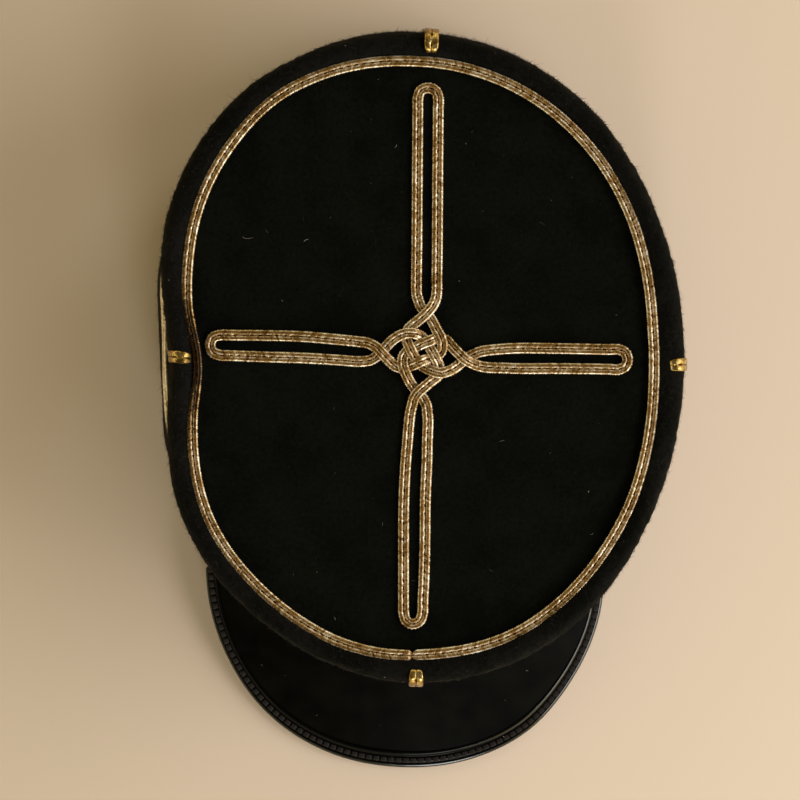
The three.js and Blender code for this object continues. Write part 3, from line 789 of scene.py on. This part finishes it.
def scatter(piece, count, draw, shown):
    """Places spread evenly over the faces of a piece, weighted by shown, with the normal and a way along."""
    mesh = piece.data
    mesh.calc_loop_triangles()
    corners = np.empty(len(mesh.loop_triangles) * 3, int)
    mesh.loop_triangles.foreach_get("vertices", corners)
    places = np.empty(len(mesh.vertices) * 3)
    mesh.vertices.foreach_get("co", places)
    triangles = places.reshape(-1, 3)[corners.reshape(-1, 3)]
    cross = np.cross(triangles[:, 1] - triangles[:, 0], triangles[:, 2] - triangles[:, 0])
    area = np.linalg.norm(cross, axis=1)
    normals = cross / np.maximum(area, LEAST_AREA)[:, None]
    weight = area * shown(triangles.mean(1), normals)
    chosen = draw.choice(len(triangles), size=count, p=weight / weight.sum())
    share = np.sqrt(draw.random(count))[:, None]
    along = draw.random(count)[:, None]
    a, b, c = (triangles[chosen, k] for k in range(3))
    roots = (1 - share) * a + share * (1 - along) * b + share * along * c
    normal = normals[chosen]
    lie = draw.normal(size=(count, 3))
    return roots, normal, unit(lie - (lie * normal).sum(1, keepdims=True) * normal)


def nap(name, piece, count, seed, shown, dust_and_painted_light_tone):
    """Loose fibre ends that stand on the cloth: thin three sided spikes, rooted where shown says."""
    draw = np.random.default_rng(seed)
    roots, normal, lie = scatter(piece, count, draw, shown)
    direction = unit(lie + normal * draw.uniform(*NAP_STANDS, (count, 1)))
    length = draw.gamma(*NAP_LENGTH, (count, 1))
    # The small amount gives a way across to a fibre that stands upright too
    across = unit(np.cross(direction, normal + 0.01))
    beside = np.cross(direction, across)
    roots = roots - normal * NAP_ROOT
    foot = [roots + NAP_RADIUS * (math.cos(t) * across + math.sin(t) * beside) for t in THREE_SIDES]
    points = np.stack([*foot, roots + direction * length], axis=1).reshape(-1, 3)
    points[:, 2] = np.maximum(points[:, 2], NAP_LOWEST)
    spike = np.array([(0, 1, 3), (1, 2, 3), (2, 0, 3), (0, 2, 1)])
    faces = (4 * np.arange(count)[:, None, None] + spike).reshape(-1, 3).tolist()
    # The tone paints the fibres paler on the crown and band than on the top: painted sheen, where the fuzz
    # of the rim catches the light
    shade = np.repeat(draw.beta(*NAP_SHADE, count), 4) * dust_and_painted_light_tone
    return array_piece(name, points, faces, shade)


def lint(spread, seed):
    """Pale hairs and specks caught on the nap: short bent threads of three sides, thinner at both ends."""
    draw = np.random.default_rng(seed)
    share = np.linspace(0, 1, LINT_ROWS)[:, None]
    taper = np.sqrt(np.sin(math.pi * np.linspace(*LINT_TAPER, LINT_ROWS)))[:, None]
    points = []
    shades = []
    faces = []
    for piece, count, shown in spread:
        for root, normal, lie in zip(*scatter(piece, count, draw, shown)):
            length = LINT_SHORTEST + draw.gamma(*LINT_LONGER)
            bend = draw.normal(0, LINT_BEND)
            side = np.cross(normal, lie)
            rows = root + normal * LINT_SEAT + length * (share * lie + bend * share ** 2 * side)
            radius = draw.uniform(*LINT_RADIUS) * taper
            corners = [rows + radius * (math.cos(t) * normal + math.sin(t) * side) for t in THREE_SIDES]
            faces += tube_faces(LINT_ROWS, 3, closed=False, hand=1, start=len(points) * LINT_ROWS * 3)
            points.append(np.stack(corners, axis=1).reshape(-1, 3))
            shades.append(np.full(LINT_ROWS * 3, draw.beta(*LINT_SHADE)))
    return array_piece("lint", np.concatenate(points), faces, np.concatenate(shades))


# Leather


def peak():
    """The leather peak, a little wavy."""
    piece = merged_copy("peak", "peak_leather")
    finish_with(
        piece, "BEVEL", width=PEAK_ROUNDED, segments=2, limit_method="ANGLE", angle_limit=SHARP_ANGLE
    )
    subdivide(piece, levels=2)
    settle(piece)
    uneven(piece, *PEAK_WAVES)
    smooth(piece)
    return piece


def peak_binding():
    """The folded strip, swept along the edge of the peak, and the line that its stitches follow."""
    leather = surface_of(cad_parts["peak"])
    low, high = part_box("peak_binding")
    hub = np.array(((low.x + high.x) / 2, high.y))
    nose = []
    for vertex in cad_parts["peak_binding"].data.vertices:
        off = vertex.co - leather.find_nearest(vertex.co)[0]
        if off.xy.length > BINDING_NOSE and 0 < off.z < off.xy.length:
            nose.append(vertex.co)
    # Rounded to a micrometre, so that the corners of loose triangles fall together
    nose = np.unique(np.round(nose, 6), axis=0)
    order = np.argsort(np.arctan2(nose[:, 0] - hub[0], hub[1] - nose[:, 1]))
    edge = smooth_line(nose[order], closed=False, step=BINDING_STEP)
    along = unit(np.gradient(edge[:, :2], axis=0))
    inward = np.column_stack([-along[:, 1], along[:, 0], np.zeros(len(edge))])
    bow = np.sin(np.linspace(0, math.pi, len(edge))) ** 2
    width = BINDING_WIDTH[0] + (BINDING_WIDTH[1] - BINDING_WIDTH[0]) * bow
    heights = []
    for depth in LEATHER_AT:
        spots = edge + inward * depth
        heights.append([leather.ray_cast(Vector((x, y, 1)), -UP)[0].z for x, y, _ in spots])
    slope = (np.array(heights[1]) - heights[0]) / (LEATHER_AT[1] - LEATHER_AT[0])

    def line_at(share, height):
        """The line along the binding at one spot of its section."""
        depth = share * width
        row = edge + inward * depth[:, None]
        row[:, 2] = heights[0] + slope * (depth - LEATHER_AT[0]) + height * MM
        return row

    lines = np.stack([line_at(*spot) for spot in BINDING_SECTION], axis=1)
    faces = tube_faces(len(edge), len(BINDING_SECTION), closed=False, hand=1, start=0)
    points = settled(lines.reshape(-1, 3))
    shares = np.array(BINDING_SECTION)[:, 0]
    worn = np.interp(np.linspace(0, 1, len(edge)), *LIP_WORN)[:, None]
    roll, sewn = shares <= SEWN_STRIP[0], shares < SEWN_STRIP[1]
    dull = np.select([roll, sewn], [ROLL_WORN * worn, 1.0], worn)
    piece = array_piece("binding_leather", points, faces, dull.ravel())
    edit_all(piece)
    bpy.ops.mesh.normals_make_consistent(inside=False)
    bpy.ops.object.mode_set(mode="OBJECT")
    subdivide(piece, levels=1)
    smooth(piece)
    return piece, settled(line_at(*STITCH_PLACE))


def stitches(line):
    """A row of flat stitches along a line, each a cube with rounded edges."""
    rows = smooth_line(line, closed=False, step=STITCH_PITCH)
    bpy.ops.object.select_all(action="DESELECT")
    made = []
    for before, after in zip(rows[:-1], rows[1:]):
        bpy.ops.mesh.primitive_cube_add(size=1.0, location=Vector((before + after) / 2))
        stitch = bpy.context.object
        stitch.rotation_mode = "QUATERNION"
        stitch.rotation_quaternion = Vector(after - before).to_track_quat("X", "Z")
        stitch.scale = STITCH_SIZE
        made.append(stitch)
    bpy.ops.object.select_all(action="DESELECT")
    for stitch in made:
        stitch.select_set(True)
    bpy.context.view_layer.objects.active = made[0]
    bpy.ops.object.join()
    bpy.ops.object.transform_apply(location=True, rotation=True, scale=True)
    piece = bpy.context.object
    piece.name = "binding_stitches"
    finish_with(piece, "BEVEL", width=STITCH_ROUNDED, segments=2)
    smooth(piece)
    return piece


# Braid


def groove_line(node, thick):
    """The foot of a braid's solid under its groove, in order along it, with the way that it faces."""
    solid = bmesh.new()
    solid.from_mesh(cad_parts[node].data)
    bmesh.ops.remove_doubles(solid, verts=solid.verts, dist=MERGED_WITHIN)
    valley = [e for e in solid.edges if e.is_manifold and e.calc_face_angle_signed() < -GROOVE_ANGLE]
    joined = {}
    facing = {}
    for edge in valley:
        for vert in edge.verts:
            joined.setdefault(vert, []).append(edge.other_vert(vert))
            normal = edge.link_faces[0].normal + edge.link_faces[1].normal
            facing[vert] = facing.get(vert, Vector()) + normal
    ends = [vert for vert in joined if len(joined[vert]) == 1]
    # From corner to corner along the groove, to its other end or round to where it began
    walk = [min(ends or joined, key=lambda v: (v.co.z, v.co.x))]
    while True:
        onward = [vert for vert in joined[walk[-1]] if vert not in walk[-2:]]
        if not onward or onward[0] is walk[0]:
            break
        walk.append(onward[0])
    rows = []
    for vert in walk:
        up = facing[vert].normalized()
        rows.append((*(vert.co - up * GROOVE_SHARE * thick), *up))
    solid.free()
    return np.array(rows)


def ring_course():
    """Angles about the knot in order, and how far from it the ring lies at each."""
    away, angle = around_knot(groove_line("ring_braid", SOUTACHE["thick"]))
    order = np.argsort(angle)
    return angle[order], np.linalg.norm(away, axis=1)[order]


def settled_line(node, kind):
    """The line of a braid, settled with the cloth that it is sewn to and pressed into its nap."""
    rows = groove_line(node, kind["thick"])
    sunk = kind["sunk"] * np.interp(rows[:, 2], PRESSED_AT, PRESSED_SHARE)
    rows[:, :3] = settled(rows[:, :3]) - rows[:, 3:] * sunk[:, None]
    return np.column_stack([rows, np.zeros(len(rows))])


def knot_line(cloth):
    """The closed path of the knot, turned square to the picture and laid on the cloth."""
    path = np.array(BACK_TO_LEFT + LEFT_TO_FRONT + FRONT_TO_RIGHT + RIGHT_TO_BACK)
    ground = surface_of(cloth)
    laid = []
    for x, y, over in path:
        across = KNOT_MIDDLE[0] + (x * math.cos(CAMERA_TURN) - y * math.sin(CAMERA_TURN)) * MM
        along = KNOT_MIDDLE[1] + (x * math.sin(CAMERA_TURN) + y * math.cos(CAMERA_TURN)) * MM
        height = ground.ray_cast(Vector((across, along, 1)), -UP)[0].z
        laid.append((across, along, height + KNOT_SEAT + over * CROSSING_LIFT, *UP, 0.0))
    return laid


def ring_line():
    """The line of the ring, level but where it leans out, and painted darker there as shadow."""
    line = settled_line("ring_braid", SOUTACHE)
    away, angle = around_knot(line)
    centre, spread, slope = RING_LEAN
    dented = np.exp(-((angle - centre) / spread) ** 2)[:, None]
    line[:, 3:5] = unit(away) * slope * dented
    line[:, 5] = 1.0
    line[:, 3:6] = unit(line[:, 3:6])
    # Painted shadow on the ring where it lies in the dent of the rim
    line[:, 6:] = RING_PAINTED_SHADOW * dented
    return line


def seam_line():
    """The line of the braid on the seam, turned up where the seam is pushed out."""
    line = settled_line("band_braid", SEAM_BRAID)
    pushed = by_angle(SEAM_SETTLED, around_knot(line)[1])
    line[:, 5] += SEAM_LEAN * np.clip(pushed / SEAM_LEAN_AT, 0, 1)
    line[:, 3:6] = unit(line[:, 3:6])
    return line


def braid_course(line, closed, kind, short):
    """The rings along a braid, with its cut ends rounded and turned down.

    For each ring it gives how far along it is, its place, the ways along, across and out of the braid, the
    share of the width that is left there, and how much painted shadow it has."""
    step = kind["pitch"] / 2
    rows = smooth_line(line, closed, step)
    rows = rows[:len(rows) - round(short / step)]
    places, facing, painted_shadow = rows[:, :3], rows[:, 3:6], rows[:, 6:]
    walked = np.arange(len(rows))[:, None] * step
    if closed:
        wide = np.ones((len(rows), 1))
        along = np.roll(places, -1, axis=0) - np.roll(places, 1, axis=0)
    else:
        share = np.clip(1 - np.minimum(walked, walked[::-1]) / kind["end"], 0, 1)
        wide = 1 - END_ROUNDED * share ** 3
        places = places - facing * (kind["end"] * (1 - np.sqrt(1 - share ** 2)))
        along = np.gradient(places, axis=0)
    along = unit(along)
    side = unit(np.cross(along, facing))
    return walked, places, np.stack([along, side, np.cross(side, along)], axis=1), wide, painted_shadow


def braid(name, line, closed, kind, seed, short=0.0):
    """Two flattened cords side by side, wound with fine slanting threads and sewn down along the groove.

    Each cord is a tube whose rings are by turns the ridge of a thread and the hollow after it. A row of the
    line is a place, the way that the braid faces there, and how much painted shadow it has."""
    draw = np.random.default_rng(seed)
    walked, places, basis, wide, painted_shadow = braid_course(line, closed, kind, short)
    count = len(places)
    thread = np.arange(count) // 2
    ridge = np.where(np.arange(count) % 2 == 0, 0.5, -0.5)[:, None] * kind["proud"]

    turn = np.arange(CORD_SIDES) * 2 * math.pi / CORD_SIDES
    across = np.sign(np.cos(turn)) * np.abs(np.cos(turn)) ** (2 / kind["square"])
    upward = np.sign(np.sin(turn)) * np.abs(np.sin(turn)) ** (2 / kind["square"])
    half_cord = kind["width"] / (2 + 2 * CORD_APART)
    half_thick = kind["thick"] / 2
    out = unit(np.column_stack([np.cos(turn) / half_cord, np.sin(turn) / half_thick]))
    ahead = -0.5 * kind["slant"] * kind["pitch"] * np.cos(turn)
    from_stitch = (walked + ahead + 0.5 * SEWING_PITCH) % SEWING_PITCH - 0.5 * SEWING_PITCH
    at_groove = np.interp(np.abs(turn - math.pi), SEWING_ROUND, (1, 0))
    pulled = np.exp(-(from_stitch / SEWING_REACH) ** 2) * at_groove
    # Painted highlights along the outer edge and the lip of the groove of each cord
    painted_highlight = kind["edge"] * np.exp(-((across - PAINTED_HIGHLIGHT_EDGE) / PAINTED_HIGHLIGHT_SPREAD) ** 2)
    painted_highlight += kind["lip"] * np.exp(-((across - PAINTED_HIGHLIGHT_LIP) / PAINTED_HIGHLIGHT_SPREAD) ** 2)
    tarnished = kind["groove"] * np.clip(-across, 0, 1) ** TARNISH_FALL

    points = []
    shades = []
    faces = []
    for hand, start in ((1, 0), (-1, count * CORD_SIDES)):
        bump = ridge * draw.uniform(*THREADS_PROUD, (count, 1))[thread]
        local = np.empty((count, CORD_SIDES, 3))
        local[..., 0] = ahead + draw.normal(0, THREADS_STRAY * kind["pitch"], (count, 1))[thread]
        local[..., 1] = hand * (half_cord * (CORD_APART + across) + bump * out[:, 0]) * wide
        local[..., 2] = half_thick * (1 + upward) + bump * out[:, 1] - SEWING_DEPTH * kind["thick"] * pulled
        if not closed:
            local[..., 0] = np.clip(local[..., 0], -walked, walked[-1] - walked)
        points.append(places[:, None] + np.einsum("nkc,ncd->nkd", local, basis))
        shade = draw.normal(kind["shade"], THREADS_DIFFER, (count, 1)) + tarnished
        shade = (shade + draw.uniform(*THREADS_PAINTED_HIGHLIGHT, (count, 1)) * painted_highlight)[thread]
        # Painted shade in the hollow between two threads
        shade = shade * np.where(ridge > 0, 1.0, HOLLOW_PAINTED_SHADE)
        # Painted shade in the stitch dents, and the painted shadow of the ring in the dent of the rim
        shades.append(np.clip(shade * (1 - pulled) - SEWING_PAINTED_SHADE * pulled - painted_shadow, -1, 1))
        faces += tube_faces(count, CORD_SIDES, closed, hand, start)
    shade = np.concatenate(shades).ravel()
    piece = array_piece(name, np.concatenate(points).reshape(-1, 3), faces, shade)
    smooth(piece)
    return piece


# The cap

RING_COURSE = ring_course()

flat_wool = black_wool("black wool, fulled and pressed", sheen=0.012, dust_and_painted_light_tone="#0f100c", painted_left_sheen=0.0)
# The napped wool is dusted paler than the pressed top, partly as painted sheen, and painted paler on the
# left as sheen
soft_wool = black_wool("black wool, fulled and napped", sheen=0.035, dust_and_painted_light_tone="#121110", painted_left_sheen=1.1)
fibre = wool_fibre()
gilt = gilt_thread(
    "gilt thread, wound and tarnished", dark="#3a2208", brown="#a27a3e", pale="#faf0da", metal=0.4
)
side_gilt = gilt_thread(
    "gilt thread, wound and rubbed bright", dark="#3a2808", brown="#94712c", pale="#ead79c", metal=0.75
)

crown = crown_wall()
top = top_panel()
head_band = band()
place(crown, soft_wool, "wool_cloth", "crown_wall")
place(top, flat_wool, "wool_cloth", "top_panel")
place(head_band, soft_wool, "wool_cloth", "band")

# The last number of each is the tone of its fibres: paler on the crown and band, as painted sheen
for name, piece, count, seed, shown, dust_and_painted_light_tone in (
    ("crown_nap", crown, 45000, 3, faces_out, 1.0),
    ("top_nap", top, 16000, 5, faces_up, 0.4),
    ("band_nap", head_band, 12000, 7, faces_out, 1.0),
):
    place(nap(name, piece, count, seed, shown, dust_and_painted_light_tone), fibre, "wool_cloth")

visor = peak()
place(visor, peak_leather(), "peak_leather", "peak")
binding, stitched = peak_binding()
place(binding, patent_leather(), "binding_leather", "peak_binding")
place(stitches(stitched), waxed_thread(), "binding_leather")
stray = lint(((top, 40, faces_up), (crown, 60, faces_out), (visor, 20, faces_up)), seed=9)
place(stray, cotton_lint(), "wool_cloth")

knot = braid("knot_soutache", knot_line(top), closed=True, kind=SOUTACHE, seed=11)
place(knot, gilt, "gold_braid", "knot_braid")
ring = braid("ring_soutache", ring_line(), closed=False, kind=SOUTACHE, seed=13, short=RING_JOIN)
place(ring, gilt, "gold_braid", "ring_braid")
seam = braid("seam_soutache", seam_line(), closed=True, kind=SEAM_BRAID, seed=17)
place(seam, gilt, "gold_braid", "band_braid")
for seed, (where, short, width, sunk) in enumerate(SIDES, start=19):
    node = f"side_braid_{where}"
    kind = SIDE_BRAID | {"width": width, "sunk": sunk}
    line = settled_line(node, kind)
    upright = braid(f"side_soutache_{where}", line, closed=False, kind=kind, seed=seed, short=short)
    place(upright, side_gilt, "gold_braid", node)


# Table, light and camera

bpy.ops.object.select_all(action="DESELECT")
bpy.ops.mesh.primitive_plane_add(size=TABLE_SIZE)
table = bpy.context.object
table.name = "table"
table.data.materials.append(table_board())

scene = bpy.context.scene
scene.view_settings.view_transform = "Standard"
world = bpy.data.worlds.new("room")
world.use_nodes = True
tree = world.node_tree
tree.nodes.clear()
sight = add(tree, "ShaderNodeTexCoord").outputs["Object"]
upward = add(tree, "ShaderNodeSeparateXYZ", {0: sight}).outputs["Z"]
fill = add(tree, "ShaderNodeMapRange", {
    "Value": upward, "From Max": CEILING_FROM, "To Min": WALL_LIGHT, "To Max": CEILING_LIGHT,
})
room = add(tree, "ShaderNodeBackground", {"Color": colour(ROOM_COLOUR), "Strength": fill.outputs[0]})
add(tree, "ShaderNodeOutputWorld", {"Surface": room.outputs[0]})
scene.world = world

for where, width, height, power in LAMPS:
    bpy.ops.object.light_add(type="AREA", location=where)
    lamp = bpy.context.object
    lamp.data.shape = "ELLIPSE"
    lamp.data.size = width
    lamp.data.size_y = height
    lamp.data.energy = power
    lamp.rotation_mode = "QUATERNION"
    lamp.rotation_quaternion = (LAMPS_AIM - lamp.location).to_track_quat("-Z", "Y")

bpy.ops.object.camera_add(location=CAMERA_PLACE, rotation=(0, 0, CAMERA_TURN))
camera = bpy.context.object
camera.data.sensor_width = SENSOR
camera.data.lens = SENSOR * FOCAL_PIXELS / PICTURE_PIXELS
camera.data.clip_start = CAMERA_NEAR
camera.data.clip_end = CAMERA_FAR
scene.camera = camera
